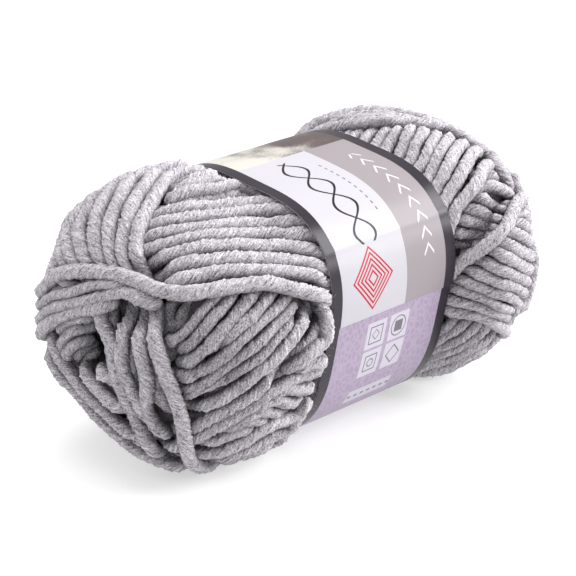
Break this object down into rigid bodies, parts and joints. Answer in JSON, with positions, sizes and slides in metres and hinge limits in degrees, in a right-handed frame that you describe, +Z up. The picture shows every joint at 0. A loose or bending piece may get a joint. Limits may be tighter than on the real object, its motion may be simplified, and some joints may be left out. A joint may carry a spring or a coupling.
{
  "type": "ball of yarn",
  "caption": "Centre-pull ball of thick grey yarn, wound in crossing bundles with a hollow at one end, with a plain paper band round its waist.",
  "frame": {"origin": "on the surface that the ball lies on, under the middle of its box", "axes": "+Z up, X along the ball's long axis with the end that shows its hollow at -X, -Y the front"},
  "size_m": [0.1684, 0.1005, 0.0905],
  "materials": {
    "yarn": "soft heather grey, matt and slightly fuzzy",
    "paper": "satin coated paper in white, taupe and lilac with dark rims"
  },
  "bodies": {
    "root": {"wound_yarn": "yarn", "paper_band": "paper"}
  },
  "joints": []
}
